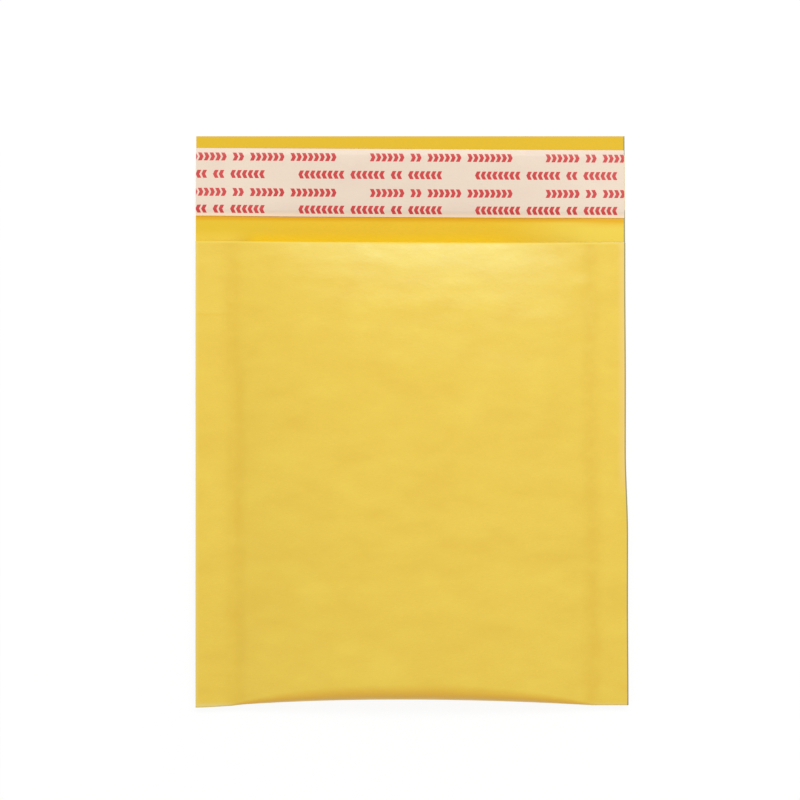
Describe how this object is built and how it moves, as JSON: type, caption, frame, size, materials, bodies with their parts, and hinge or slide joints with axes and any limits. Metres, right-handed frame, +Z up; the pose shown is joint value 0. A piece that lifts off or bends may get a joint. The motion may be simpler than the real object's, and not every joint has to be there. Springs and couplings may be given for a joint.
{
  "type": "padded envelope",
  "caption": "Flat kraft paper envelope lined with bubble film, empty and unsealed, with a peel-off closure strip across its open flap.",
  "frame": {"origin": "on the surface the envelope lies on, under the middle of its outline", "axes": "+X across the envelope, +Y from the bottom fold to the flap's free edge, +Z up out of the front panel"},
  "size_m": [0.166, 0.2196, 0.013],
  "materials": {
    "kraft_paper": "smooth yellow kraft paper, faint sheen",
    "bubble_film": "clear soft film",
    "adhesive": "tacky clear amber",
    "liner_paper": "silicone-coated paper with small red arrow marks"
  },
  "bodies": {
    "root": {"kraft_envelope": "kraft_paper", "bubble_lining": "bubble_film", "adhesive_strip": "adhesive", "release_liner": "liner_paper"}
  },
  "joints": []
}
